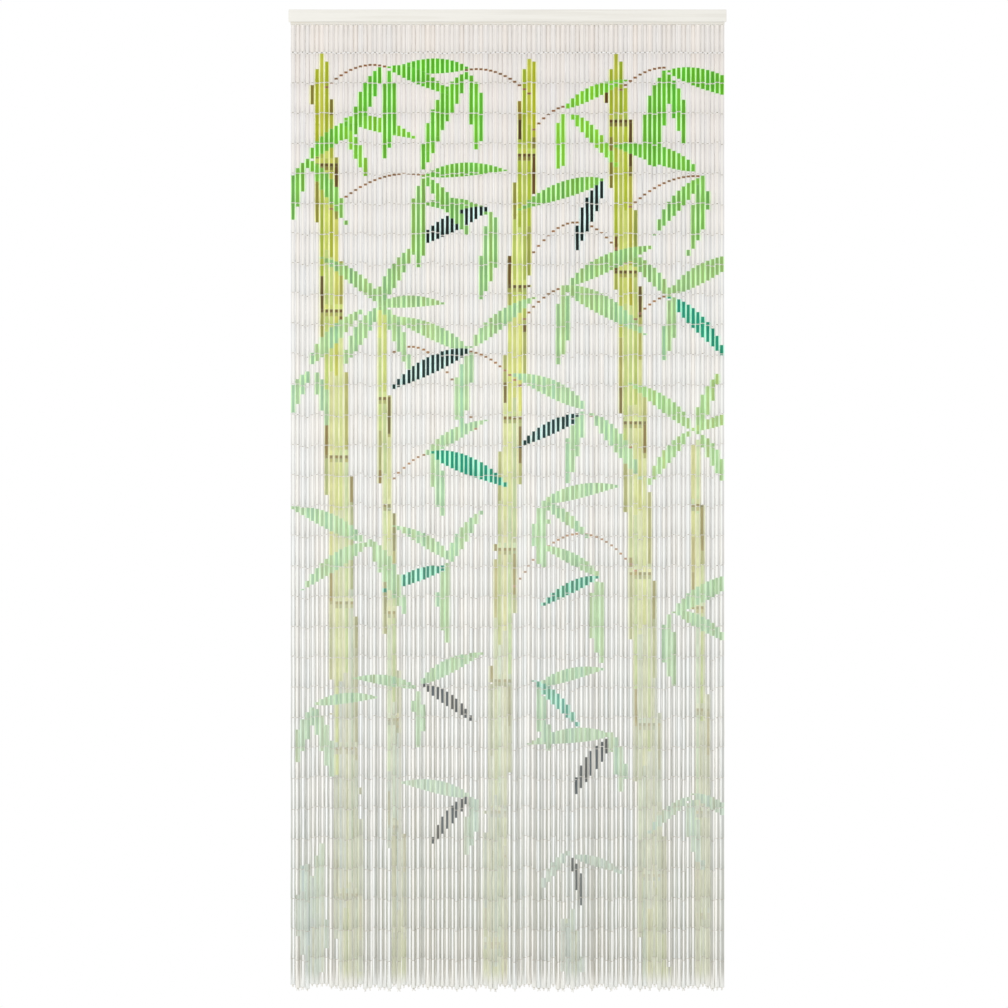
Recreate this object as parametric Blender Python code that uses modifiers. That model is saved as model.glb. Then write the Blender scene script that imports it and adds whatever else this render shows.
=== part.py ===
"""Bamboo door curtain with its header rail: ninety strands of bamboo tube on a painted batten.

The origin is the middle of the rail's back face, which lies on the wall over a doorway.
+X runs along the rail, +Y points into the wall and +Z points up. Sizes are in metres.
"""

import math
import random

import bmesh
import bpy
from mathutils import Matrix

# Header rail, a painted wooden batten with eased edges
RAIL_LENGTH = 0.900
RAIL_HEIGHT = 0.0255
RAIL_DEPTH = 0.015
RAIL_EASE = 0.0012
EASE_STEPS = 2

# Hanging strip under the rail, which all the strands grow out of
STRIP_LENGTH = 0.892
STRIP_HEIGHT = 0.005
STRIP_DEPTH = 0.0122
SEAT_GAP = 0.0003

# Strands: a square bar has the area of the round tubes, which are about 9.3 mm thick.
# They hang in turn a little before and a little behind the middle of the rail
STRAND_COUNT = 90
STRAND_PITCH = 0.00991
STRAND_SIDE = 0.0082
SIDE_SPREAD = 0.0002
STAGGER = 0.0012
ROOT_DEPTH = 0.002
ROOT_SPREAD = 0.0003

# Links between the tubes lie in rows. A strand bends a little at every fourth row
LINK_ROWS = 32
FIRST_LINK = 0.058
LINK_PITCH = 0.0621
ROWS_A_BEND = 4

# How far a bend wanders from the plumb line, and how uneven the lower ends are
SWAY_SIDEWAYS = 0.00045
SWAY_IN_DEPTH = 0.0004
END_SPREAD = 0.006
SEED = 90

# A four-sided bar, turned so that its flats face along X and Y
BAR_SIDES = 4
BAR_TURN = math.pi / BAR_SIDES

RAIL_MIDDLE_Y = -RAIL_DEPTH / 2
STRIP_TOP = -RAIL_HEIGHT / 2 - SEAT_GAP
STRIP_FOOT = STRIP_TOP - STRIP_HEIGHT

RAIL_PAINT = ((0.86, 0.83, 0.76), 0.45)
BAMBOO_PAINT = ((0.80, 0.78, 0.70), 0.60)


def clear_scene():
    """Removes whatever the scene holds."""
    for thing in list(bpy.data.objects):
        bpy.data.objects.remove(thing, do_unlink=True)


def collection(name):
    """Gives a new collection in the scene."""
    group = bpy.data.collections.new(name)
    bpy.context.scene.collection.children.link(group)
    return group


def material(name, paint):
    """Gives a plain painted material from a colour and a roughness."""
    colour, roughness = paint
    finish = bpy.data.materials.new(name)
    finish.use_nodes = True
    shader = finish.node_tree.nodes["Principled BSDF"]
    shader.inputs["Base Color"].default_value = (*colour, 1.0)
    shader.inputs["Roughness"].default_value = roughness
    shader.inputs["Metallic"].default_value = 0.0
    return finish


def box(name, size, centre, group, finish):
    """Makes a box from the cube primitive, with its scale applied."""
    bpy.ops.mesh.primitive_cube_add(size=1.0, location=centre)
    thing = bpy.context.object
    thing.name = name
    thing.scale = size
    bpy.ops.object.transform_apply(location=False, rotation=False, scale=True)
    thing.data.materials.append(finish)
    for other in list(thing.users_collection):
        other.objects.unlink(thing)
    group.objects.link(thing)
    return thing


def header_rail(group):
    """Makes the batten that is fixed over the doorway."""
    size = (RAIL_LENGTH, RAIL_DEPTH, RAIL_HEIGHT)
    rail = box("header_rail", size, (0.0, RAIL_MIDDLE_Y, 0.0), group, material("rail_paint", RAIL_PAINT))
    ease = rail.modifiers.new("eased edges", "BEVEL")
    ease.width = RAIL_EASE
    ease.segments = EASE_STEPS
    ease.limit_method = "ANGLE"
    return rail


def link_depth(row):
    """Gives how far below the strip a row of links lies, with rows counted from 1."""
    return FIRST_LINK + (row - 1) * LINK_PITCH


def strand_line(index):
    """Gives one strand's points, root first, each with the width of the bar there."""
    chance = random.Random(SEED + index)
    plumb_x = (index - (STRAND_COUNT - 1) / 2) * STRAND_PITCH
    plumb_y = RAIL_MIDDLE_Y + (STAGGER if index % 2 else -STAGGER)
    root_y = plumb_y + chance.uniform(-ROOT_SPREAD, ROOT_SPREAD)
    root_side = STRAND_SIDE + chance.uniform(-SIDE_SPREAD, SIDE_SPREAD)
    points = [(plumb_x, root_y, STRIP_FOOT + ROOT_DEPTH, root_side)]
    for row in range(ROWS_A_BEND, LINK_ROWS + 1, ROWS_A_BEND):
        x = plumb_x + chance.uniform(-SWAY_SIDEWAYS, SWAY_SIDEWAYS)
        y = plumb_y + chance.uniform(-SWAY_IN_DEPTH, SWAY_IN_DEPTH)
        side = STRAND_SIDE + chance.uniform(-SIDE_SPREAD, SIDE_SPREAD)
        depth = link_depth(row)
        if row == LINK_ROWS:
            depth += chance.uniform(-END_SPREAD, END_SPREAD)
        points.append((x, y, STRIP_FOOT - depth, side))
    return points


def strand_bar(work, line):
    """Draws one strand: a square at the root, pushed out from point to point of its line."""
    x, y, z, side = line[0]
    square = bmesh.ops.create_circle(
        work,
        cap_ends=True,
        segments=BAR_SIDES,
        radius=side / math.sqrt(2),
        matrix=Matrix.Translation((x, y, z)) @ Matrix.Rotation(BAR_TURN, 4, "Z"),
    )
    face = square["verts"][0].link_faces[0]
    inner_faces = []
    for (from_x, from_y, from_z, from_side), (x, y, z, side) in zip(line, line[1:]):
        pushed = bmesh.ops.extrude_face_region(work, geom=[face])["geom"]
        face = next(item for item in pushed if isinstance(item, bmesh.types.BMFace))
        inner_faces.append(face)
        to_middle = Matrix.Translation((-from_x, -from_y, -from_z))
        resize = Matrix.Scale(side / from_side, 4)
        to_place = Matrix.Translation((x, y, z))
        bmesh.ops.transform(work, matrix=to_place @ resize @ to_middle, verts=face.verts)
    bmesh.ops.delete(work, geom=inner_faces[:-1], context="FACES_ONLY")


def strand_bars(group, finish):
    """Makes all the strands, each one a closed bar, as one mesh object."""
    mesh = bpy.data.meshes.new("strand_bars")
    work = bmesh.new()
    for index in range(STRAND_COUNT):
        strand_bar(work, strand_line(index))
    bmesh.ops.recalc_face_normals(work, faces=work.faces)
    work.to_mesh(mesh)
    work.free()
    bars = bpy.data.objects.new("strand_bars", mesh)
    bars.data.materials.append(finish)
    group.objects.link(bars)
    bars.hide_render = True
    bars.display_type = "WIRE"
    return bars


def bamboo_strands(group, helpers):
    """Makes the hanging strip with every strand fused to its underside."""
    finish = material("bamboo_paint", BAMBOO_PAINT)
    size = (STRIP_LENGTH, STRIP_DEPTH, STRIP_HEIGHT)
    centre = (0.0, RAIL_MIDDLE_Y, STRIP_TOP - STRIP_HEIGHT / 2)
    strip = box("bamboo_strands", size, centre, group, finish)
    join = strip.modifiers.new("fused roots", "BOOLEAN")
    join.operation = "UNION"
    join.solver = "EXACT"
    join.object = strand_bars(helpers, finish)
    return strip


def main():
    """Builds the curtain."""
    clear_scene()
    parts = collection("bamboo_door_curtain")
    helpers = collection("helpers")
    header_rail(parts)
    bamboo_strands(parts, helpers)


main()
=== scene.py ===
"""Looks of the bamboo door curtain: printed bamboo tubes on wire, under a painted header rail.

The row frame has its origin in the middle of the rail's back face, with +X along the rail,
+Y into the wall and +Z up. Sizes are in metres.
"""

import logging
import math
import random
from dataclasses import dataclass, replace
from enum import Enum
from typing import Iterable, Optional, Sequence, Union

import bmesh
import bpy
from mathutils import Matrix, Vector

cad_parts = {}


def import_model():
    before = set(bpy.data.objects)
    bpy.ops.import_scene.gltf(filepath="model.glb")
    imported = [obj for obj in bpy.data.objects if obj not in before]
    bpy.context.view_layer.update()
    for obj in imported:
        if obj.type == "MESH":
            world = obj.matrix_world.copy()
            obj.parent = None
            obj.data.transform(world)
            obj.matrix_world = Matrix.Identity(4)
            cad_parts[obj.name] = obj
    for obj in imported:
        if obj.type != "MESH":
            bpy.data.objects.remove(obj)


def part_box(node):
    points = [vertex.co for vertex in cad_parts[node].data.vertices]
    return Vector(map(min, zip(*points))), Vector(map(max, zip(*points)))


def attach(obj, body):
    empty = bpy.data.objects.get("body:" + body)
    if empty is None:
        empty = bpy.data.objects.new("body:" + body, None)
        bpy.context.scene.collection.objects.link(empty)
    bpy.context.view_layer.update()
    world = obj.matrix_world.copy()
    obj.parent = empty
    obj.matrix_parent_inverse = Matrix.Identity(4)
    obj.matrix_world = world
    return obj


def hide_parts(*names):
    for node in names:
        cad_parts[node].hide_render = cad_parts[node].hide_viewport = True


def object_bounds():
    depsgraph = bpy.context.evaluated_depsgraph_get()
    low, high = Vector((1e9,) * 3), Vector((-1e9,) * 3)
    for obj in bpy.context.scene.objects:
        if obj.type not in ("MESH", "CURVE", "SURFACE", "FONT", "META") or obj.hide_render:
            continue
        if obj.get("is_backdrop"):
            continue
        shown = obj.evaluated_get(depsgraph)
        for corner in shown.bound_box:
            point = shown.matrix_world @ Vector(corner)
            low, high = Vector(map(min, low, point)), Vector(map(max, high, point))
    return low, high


LOG = logging.getLogger("bamboo_door_curtain")

Colour = tuple[float, float, float]
Scale = tuple[float, float, float]
Range = tuple[float, float]
Point = tuple[float, float]
Box = tuple[Vector, Vector]
Stops = tuple[tuple[float, str], ...]
Levels = tuple[tuple[float, float], ...]

BODY = "root"
RAIL_NODE = "header_rail"
STRAND_NODE = "bamboo_strands"

LATH_HEIGHT = 0.005
RELIEF_STRENGTH = 0.5
UP = Vector((0.0, 0.0, 1.0))
SKEW = Vector((0.31, 0.87, 0.39))


class Slot(Enum):
    """The record's material slots."""

    RAIL = "painted_rail"
    BAMBOO = "painted_bamboo"
    WIRE = "link_wire"
    CORD = "end_cord"


def linear(code: str) -> Colour:
    """Turns a colour as written for a screen into the light that it stands for.

    Args:
        code: Six hexadecimal digits after a hash mark.

    Returns:
        Red, green and blue as linear values.
    """
    shares = (int(code[i : i + 2], 16) / 255 for i in (1, 3, 5))
    return tuple(s / 12.92 if s <= 0.04045 else ((s + 0.055) / 1.055) ** 2.4 for s in shares)


def between(low: float, high: float, share: float) -> float:
    """Gives the value that lies this share of the way from low to high."""
    return low + (high - low) * share


def blended(first: Colour, second: Colour, share: float) -> Colour:
    """Gives the colour that lies this share of the way from first to second."""
    return tuple(between(a, b, share) for a, b in zip(first, second))


# Node trees


class Value:
    """A number in a node tree that takes part in Python sums, each of which adds a Math node."""

    def __init__(self, tree: "Tree", socket: bpy.types.NodeSocket) -> None:
        """Wraps an output socket of the tree."""
        self.tree = tree
        self.socket = socket

    def __add__(self, other: "Number") -> "Value":
        """Adds."""
        return self.tree.math("ADD", self, other)

    __radd__ = __add__

    def __mul__(self, other: "Number") -> "Value":
        """Multiplies."""
        return self.tree.math("MULTIPLY", self, other)

    __rmul__ = __mul__

    def __sub__(self, other: "Number") -> "Value":
        """Takes other away."""
        return self.tree.math("SUBTRACT", self, other)

    def __rsub__(self, other: "Number") -> "Value":
        """Takes this value away from other."""
        return self.tree.math("SUBTRACT", other, self)

    def __abs__(self) -> "Value":
        """Drops the sign."""
        return self.tree.math("ABSOLUTE", self, 0.0)


Number = Union[float, Value]


def varied(level: Range, noise: Value) -> Value:
    """Gives a level's base with a share of the noise on top, from the pair of base and share."""
    base, share = level
    return base + noise * share


class Tree:
    """A node tree under construction, of a material or of a modifier."""

    def __init__(self, tree: bpy.types.NodeTree) -> None:
        """Starts on an empty node tree."""
        self.tree = tree
        self.tree.nodes.clear()

    def node(
        self,
        kind: str,
        settings: Optional[dict] = None,
        inputs: Optional[dict] = None,
    ) -> bpy.types.Node:
        """Adds one node.

        Args:
            kind: The node's type.
            settings: Its properties, which are set first. "stops" holds a ramp's places and
                colours.
            inputs: Values or links, by the socket's name or number.

        Returns:
            The node.
        """
        made = self.tree.nodes.new(kind)
        for name, value in (settings or {}).items():
            if name == "stops":
                self._set_stops(made.color_ramp, value)
            else:
                setattr(made, name, value)
        for name, value in (inputs or {}).items():
            self.feed(made.inputs[name], value)
        return made

    def feed(self, socket: bpy.types.NodeSocket, value: object) -> None:
        """Links a value to an input socket, or sets the socket to a plain one."""
        if isinstance(value, Value):
            value = value.socket
        if isinstance(value, bpy.types.NodeSocket):
            self.tree.links.new(value, socket)
        elif isinstance(value, tuple) and socket.type == "RGBA":
            socket.default_value = (*value[:3], 1.0)
        else:
            socket.default_value = value

    @staticmethod
    def _set_stops(ramp: bpy.types.ColorRamp, stops: Sequence[tuple[float, Colour]]) -> None:
        """Gives a colour ramp its stops."""
        while len(ramp.elements) < len(stops):
            ramp.elements.new(1.0)
        for element, (place, colour) in zip(ramp.elements, stops):
            element.position = place
            element.color = (*colour, 1.0)

    def math(self, operation: str, first: Number, second: Number) -> Value:
        """Adds a Math node for two numbers."""
        made = self.node("ShaderNodeMath", {"operation": operation}, {0: first, 1: second})
        return Value(self, made.outputs[0])

    def smooth(self, value: Number, start: Number, stop: Number) -> Value:
        """Gives a share that eases from 0 at start to 1 at stop."""
        settings = {"interpolation_type": "SMOOTHSTEP"}
        made = self.node("ShaderNodeMapRange", settings, {0: value, 1: start, 2: stop})
        return Value(self, made.outputs[0])

    def split(self, vector: bpy.types.NodeSocket) -> tuple[Value, Value, Value]:
        """Takes a vector apart into its three numbers."""
        made = self.node("ShaderNodeSeparateXYZ", None, {0: vector})
        return tuple(Value(self, out) for out in made.outputs)

    def mix(self, first: object, second: object, share: Number) -> bpy.types.NodeSocket:
        """Mixes two colours.

        Args:
            first: The colour at share 0, as a tuple or a socket.
            second: The colour at share 1.
            share: How much of the second shows.

        Returns:
            The mixed colour's socket.
        """
        made = self.node("ShaderNodeMix", {"data_type": "RGBA"}, {0: share})
        self.feed(made.inputs[6], first)
        self.feed(made.inputs[7], second)
        return made.outputs[2]

    def scaled(self, colour: object, share: Number) -> bpy.types.NodeSocket:
        """Makes a colour lighter or darker by a number."""
        made = self.node("ShaderNodeVectorMath", {"operation": "SCALE"}, {"Scale": share})
        self.feed(made.inputs[0], colour)
        return made.outputs[0]

    def multiplied(self, first: object, second: object) -> bpy.types.NodeSocket:
        """Multiplies two colours, channel by channel."""
        made = self.node("ShaderNodeVectorMath", {"operation": "MULTIPLY"}, {0: first, 1: second})
        return made.outputs[0]

    def ramp(self, value: Number, stops: Sequence[tuple[float, Colour]]) -> bpy.types.NodeSocket:
        """Reads a colour ramp at a value."""
        return self.node("ShaderNodeValToRGB", {"stops": stops}, {0: value}).outputs[0]

    def colours(self, value: Number, stops: Stops) -> bpy.types.NodeSocket:
        """Reads a ramp of colours, written as for a screen, at a value."""
        return self.ramp(value, [(place, linear(code)) for place, code in stops])

    def levels(self, value: Number, stops: Levels) -> Value:
        """Reads a ramp of numbers between 0 and 1 at a value."""
        return Value(self, self.ramp(value, [(place, (level, level, level)) for place, level in stops]))

    def read(self, name: str, output: str) -> bpy.types.NodeSocket:
        """Reads one of the piece's own attributes, by the name of the node's output."""
        return self.node("ShaderNodeAttribute", {"attribute_name": name}).outputs[output]

    def place(self) -> bpy.types.NodeSocket:
        """Gives the place on the piece, in metres."""
        return self.node("ShaderNodeTexCoord").outputs["Object"]

    def noise(self, place: object, scale: Scale, detail: float) -> Value:
        """Gives noise from about 0 to 1.

        Args:
            place: Where the noise is read.
            scale: How many of its grains there are to a metre along each axis.
            detail: How many finer layers it has.

        Returns:
            The noise.
        """
        settings = {"vector_type": "POINT"}
        spread = self.node("ShaderNodeMapping", settings, {"Vector": place, "Scale": scale}).outputs[0]
        made = self.node("ShaderNodeTexNoise", None, {"Vector": spread, "Scale": 1.0, "Detail": detail})
        return Value(self, made.outputs[0])

    def paint(self, surface: bpy.types.Node, colour: object, roughness: Number) -> None:
        """Gives a surface its colour and its roughness."""
        self.feed(surface.inputs["Base Color"], colour)
        self.feed(surface.inputs["Roughness"], roughness)

    def relief(self, surface: bpy.types.Node, height: Value, deep: float) -> None:
        """Gives a surface a fine relief, from heights between 0 and 1 and its depth in metres."""
        inputs = {"Strength": RELIEF_STRENGTH, "Distance": deep, "Height": height}
        self.feed(surface.inputs["Normal"], self.node("ShaderNodeBump", None, inputs).outputs[0])


def shader(name: str) -> tuple[bpy.types.Material, Tree, bpy.types.Node]:
    """Starts a material.

    Args:
        name: The finish's name.

    Returns:
        The material, its tree and its Principled shader.
    """
    material = bpy.data.materials.new(name)
    material.use_nodes = True
    tree = Tree(material.node_tree)
    surface = tree.node("ShaderNodeBsdfPrincipled")
    tree.node("ShaderNodeOutputMaterial", None, {"Surface": surface.outputs[0]})
    return material, tree, surface


# Finishes


@dataclass(frozen=True)
class RailPaint:
    """Cream paint, brushed along the wood and a little thinner over its grain."""

    cream: Colour = linear("#E6E4DD")
    thin: Colour = linear("#DDDAD2")
    brush: Scale = (14.0, 900.0, 900.0)
    grain: Scale = (5.0, 160.0, 160.0)
    thinning: Range = (0.42, 0.72)
    thinness: float = 0.7
    shade: Range = (0.975, 0.05)
    roughness: Range = (0.42, 0.16)
    brush_share: float = 0.6
    relief: float = 0.00012

    def material(self) -> bpy.types.Material:
        """Builds the material."""
        material, tree, surface = shader("rail_paint")
        place = tree.place()
        strokes, grain = tree.noise(place, self.brush, 3.0), tree.noise(place, self.grain, 2.0)
        colour = tree.mix(self.cream, self.thin, tree.smooth(grain, *self.thinning) * self.thinness)
        tree.paint(surface, tree.scaled(colour, varied(self.shade, strokes)), varied(self.roughness, strokes))
        tree.relief(surface, strokes * self.brush_share + grain * (1.0 - self.brush_share), self.relief)
        return material


@dataclass(frozen=True)
class LathPaint:
    """The lath's thinner, yellower coat, darker than the rail's as painted shade under the rail."""

    # The coat is a little darker than the rail's cream: painted shade under the rail.
    coat_with_painted_light: Colour = linear("#DCD9D0")
    bare: Colour = linear("#D3CDBF")
    grain: Scale = (9.0, 320.0, 320.0)
    thinning: Range = (0.45, 0.75)
    roughness: Range = (0.6, 0.2)

    def material(self) -> bpy.types.Material:
        """Builds the material."""
        material, tree, surface = shader("lath_paint")
        grain = tree.noise(tree.place(), self.grain, 3.0)
        colour = tree.mix(self.coat_with_painted_light, self.bare, tree.smooth(grain, *self.thinning))
        tree.paint(surface, colour, varied(self.roughness, grain))
        return material


@dataclass(frozen=True)
class TubePaint:
    """Off-white coat and print on the front of the bamboo, with flanks that grey towards the foot.

    The coat reaches round the front of each tube only, less far towards the foot, and the flanks
    beside it turn from cream to grey. Both are partly the paint's two tones and partly painted
    light: the coat is also a painted highlight down the front of each tube, and the grey of the
    flanks is also painted shade. The print reaches a little further, and its overspray tints the
    flanks beside it. Far round the sides the flanks are painted lighter again, as painted light
    that cancels the shade where neighbouring tubes touch. The lowest ends are bleached, and the
    first tubes are painted a little lighter just under the lath, as painted light against the
    lath's shadow.

    Attributes:
        top: The height at which the depth is 0.
        foot: The height at which it is 1. All stops below are at depths.
        reach: How far round the tube the coat reaches, as a sine.
        print_reach: The same for the print.
        uneven_reach: How much both vary along the tube.
        edge: How soft their edges are.
        side_painted_light: How much lighter the flanks are painted at the very sides, as painted
        light against the shade where tubes touch.
        side_start: The sine at which that starts.
        fade: The heights between which the ends are bleached, and how much of the bleach shows.
        back_edge: How soft the edge of the unpainted back is, as a cosine.
        cut_edge: How deep in a cut end the bare wood starts, and where it is all bare.
        bore_shade_edge: The same for the dark of the bore, painted shade in its hollow.
        root: The heights between which the first tubes are painted lighter towards the lath, as
        painted light against its shadow.
        rim: The same for their upper rims.
        bar_edge: How soft a printed bar's ends are.
        ragged: How far they run along the fibres.
        mottle: An ink's base strength, and what clouds and specks add to it.
    """

    top: float = -0.03
    foot: float = -2.0
    # Coat: the paint's off-white front, also a painted highlight that grows brighter towards the foot.
    coat_with_painted_light: Stops = (
        (0.0, "#E7E2DC"), (0.06, "#E5E1DB"), (0.2, "#EBE8E2"), (0.4, "#F1F0EB"),
        (0.5, "#F4F4EF"), (0.6, "#F7F7F3"), (0.75, "#FCFCF9"), (1.0, "#FEFEFB"),
    )
    # Flanks: grey paint that is also painted shade beside each tube's front.
    flank_with_painted_shade: Stops = (
        (0.0, "#DCD8D4"), (0.06, "#DFDBD9"), (0.25, "#DBDAD8"), (0.4, "#DAD9D6"), (0.5, "#D6D5D2"),
        (0.62, "#CECECA"), (0.7, "#CACBC7"), (0.8, "#C4C5C0"), (0.9, "#BEC0B8"), (1.0, "#BFBEB7"),
    )
    reach: Levels = ((0.0, 0.46), (0.2, 0.43), (0.4, 0.40), (0.62, 0.36), (1.0, 0.31))
    print_reach: Levels = ((0.0, 0.70), (0.45, 0.62), (0.8, 0.50), (1.0, 0.43))
    uneven_reach: float = 0.12
    edge: float = 0.08
    # Painted light: flanks painted lighter at the very sides to cancel the shade where tubes touch.
    side_painted_light: Levels = ((0.0, 0.36), (0.3, 0.41), (0.6, 0.49), (1.0, 0.64))
    side_start: float = 0.58
    bleached: Colour = linear("#F5F5F1")
    fade: Scale = (-1.956, -1.997, 0.95)
    back: Colour = linear("#E4E0D6")
    back_edge: float = 0.12
    cut_wood: Colour = linear("#D6CDB9")
    cut_edge: Range = (0.05, 0.6)
    # The dark of the bore is painted shade in the hollow of a cut end.
    bore: Colour = linear("#6E5F48")
    bore_shade_edge: Range = (0.9, 1.8)
    # Painted light: the first tubes and their rims are painted lighter against the lath's shadow.
    root: Range = (-0.033, -0.0195)
    root_painted_light: float = 0.10
    rim: Range = (-0.0200, -0.0188)
    rim_painted_light: float = 0.30
    bar_edge: float = 0.0005
    ragged: float = 0.0016
    mottle: Scale = (0.72, 0.4, 0.16)
    fibre: Scale = (1100.0, 1100.0, 26.0)
    cloud: Scale = (140.0, 140.0, 40.0)
    speck: Scale = (900.0, 900.0, 420.0)
    fibre_shade: Range = (0.94, 0.12)
    roughness: Range = (0.46, 0.16)
    shine: float = 0.14
    relief: float = 0.00014

    def material(self, bars: int) -> bpy.types.Material:
        """Builds the material.

        Args:
            bars: How many printed bars a tube can carry.

        Returns:
            The material.
        """
        material, tree, surface = shader("tube_paint")
        place = tree.place()
        height = tree.split(place)[2]
        depth = (self.top - height) * (1.0 / (self.top - self.foot))
        sideways, forwards, _ = tree.split(tree.node("ShaderNodeNewGeometry").outputs["Normal"])
        cut = Value(tree, tree.read("cut", "Fac"))
        shift = tree.read("shift", "Vector")
        moved = tree.node("ShaderNodeVectorMath", {"operation": "ADD"}, {0: place, 1: shift}).outputs[0]
        fibre = tree.noise(moved, self.fibre, 2.0)
        cloud = tree.noise(moved, self.cloud, 1.0)
        specks = tree.noise(moved, self.speck, 2.0)

        off_middle = abs(sideways - Value(tree, tree.read("aside", "Fac")))
        uneven = (cloud - 0.5) * self.uneven_reach
        # The coat is also a painted highlight down each tube's front, and the flanks painted shade.
        coat_and_highlight_share = self._inside(tree, off_middle, tree.levels(depth, self.reach) + uneven)
        inked = self._inside(tree, off_middle, tree.levels(depth, self.print_reach) + uneven)
        colour = tree.mix(tree.colours(depth, self.flank_with_painted_shade), tree.colours(depth, self.coat_with_painted_light), coat_and_highlight_share)

        waver = height + (fibre - 0.5) * self.ragged
        strength, clouding, speckling = self.mottle
        mottle = strength + cloud * clouding + specks * speckling
        for bar in range(bars):
            low, high, _ = tree.split(tree.read(f"bar_{bar}", "Vector"))
            rise = tree.smooth(waver, low - self.bar_edge, low + self.bar_edge)
            fall = tree.smooth(waver, high - self.bar_edge, high + self.bar_edge)
            ink = tree.scaled(tree.read(f"ink_{bar}", "Color"), mottle)
            ink = tree.mix(tree.read(f"halo_{bar}", "Color"), ink, inked)
            colour = tree.mix(colour, ink, rise * (1.0 - fall))

        # Painted light: lighter flanks at the very sides, against the shade where neighbouring tubes touch.
        lift = tree.smooth(abs(sideways), self.side_start, 1.0) * tree.levels(depth, self.side_painted_light)
        colour = tree.scaled(colour, 1.0 + lift * (1.0 - coat_and_highlight_share))
        start, stop, bleach = self.fade
        colour = tree.mix(colour, self.bleached, tree.smooth(height, start, stop) * bleach)
        colour = tree.mix(self.back, colour, tree.smooth(forwards, self.back_edge, -self.back_edge))
        colour = tree.multiplied(colour, tree.read("cast", "Vector"))
        colour = tree.scaled(colour, varied(self.fibre_shade, fibre))
        # The bore's dark is painted shade in the hollow.
        end = tree.mix(self.cut_wood, self.bore, tree.smooth(cut, *self.bore_shade_edge))
        colour = tree.mix(colour, end, tree.smooth(cut, *self.cut_edge))
        # Painted light: lighter tubes just under the lath, against its shadow.
        painted_light_near_lath = tree.smooth(height, *self.root) * self.root_painted_light
        painted_light_near_lath += tree.smooth(height, *self.rim) * self.rim_painted_light
        tree.paint(surface, tree.scaled(colour, 1.0 + painted_light_near_lath), varied(self.roughness, fibre))
        surface.inputs["Specular IOR Level"].default_value = self.shine
        tree.relief(surface, fibre, self.relief)
        return material

    def _inside(self, tree: Tree, off_middle: Value, reach: Value) -> Value:
        """Gives the share of paint where the front reaches this far round a tube."""
        return 1.0 - tree.smooth(off_middle, reach - self.edge, reach + self.edge)


@dataclass(frozen=True)
class WireFinish:
    """Dull galvanised wire with darker patches."""

    bright: Colour = linear("#8A8883")
    dull: Colour = linear("#5C5A56")
    patches: Scale = (420.0, 420.0, 420.0)
    roughness: float = 0.45
    metallic: float = 0.6

    def material(self) -> bpy.types.Material:
        """Builds the material."""
        material, tree, surface = shader("link_wire")
        patches = tree.noise(tree.place(), self.patches, 1.0)
        tree.paint(surface, tree.mix(self.bright, self.dull, patches), self.roughness)
        surface.inputs["Metallic"].default_value = self.metallic
        return material


@dataclass(frozen=True)
class CordFinish:
    """Off-white twisted cord."""

    light: Colour = linear("#FEFDFA")
    dark: Colour = linear("#F2F0EA")
    twist: Scale = (900.0, 900.0, 1500.0)
    roughness: Range = (0.75, 0.15)

    def material(self) -> bpy.types.Material:
        """Builds the material."""
        material, tree, surface = shader("end_cord")
        yarns = tree.noise(tree.place(), self.twist, 2.0)
        tree.paint(surface, tree.mix(self.dark, self.light, yarns), varied(self.roughness, yarns))
        return material


@dataclass(frozen=True)
class FloorPaint:
    """Plain pale floor paint."""

    pale: Colour = (0.86, 0.86, 0.85)
    cloud: Scale = (3.0, 3.0, 3.0)
    shade: Range = (0.98, 0.03)
    roughness: float = 0.8

    def material(self) -> bpy.types.Material:
        """Builds the material."""
        material, tree, surface = shader("floor_paint")
        cloud = tree.noise(tree.place(), self.cloud, 2.0)
        tree.paint(surface, tree.scaled(self.pale, varied(self.shade, cloud)), self.roughness)
        return material


# The printed grove


def faded(stops: Stops, depth: float) -> Colour:
    """Gives the colour at a depth, from 0 at the top of the print to 1 at its foot."""
    before = stops[0]
    for after in stops:
        if depth <= after[0]:
            width = after[0] - before[0]
            share = (depth - before[0]) / width if width else 0.0
            return blended(linear(before[1]), linear(after[1]), share)
        before = after
    return linear(before[1])


@dataclass(frozen=True)
class Ink:
    """A printing ink that pales towards the foot of the curtain.

    Attributes:
        full: Depths, from 0 at the top to 1 at the foot, each with the ink's colour.
        spray: The same for the thin overspray on the flanks beside it.
    """

    full: Stops
    spray: Stops

    def at(self, depth: float) -> tuple[Colour, Colour]:
        """Gives the colours of the ink and of its overspray at a depth."""
        return faded(self.full, depth), faded(self.spray, depth)


LEAF_SPRAY: Stops = (
    (0.0, "#CEFCB2"), (0.12, "#D2FBB6"), (0.28, "#D6F1C4"), (0.48, "#D4EACA"),
    (0.7, "#CADDC4"), (0.85, "#CAD5C8"), (1.0, "#C8CCC6"),
)
CANE_SPRAY: Stops = (
    (0.0, "#ECF0B8"), (0.21, "#EAECB4"), (0.46, "#E0E1C2"), (0.63, "#D8DAC3"),
    (0.8, "#D0D2C7"), (0.93, "#CDCFBA"), (1.0, "#CDCFB6"),
)


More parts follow.
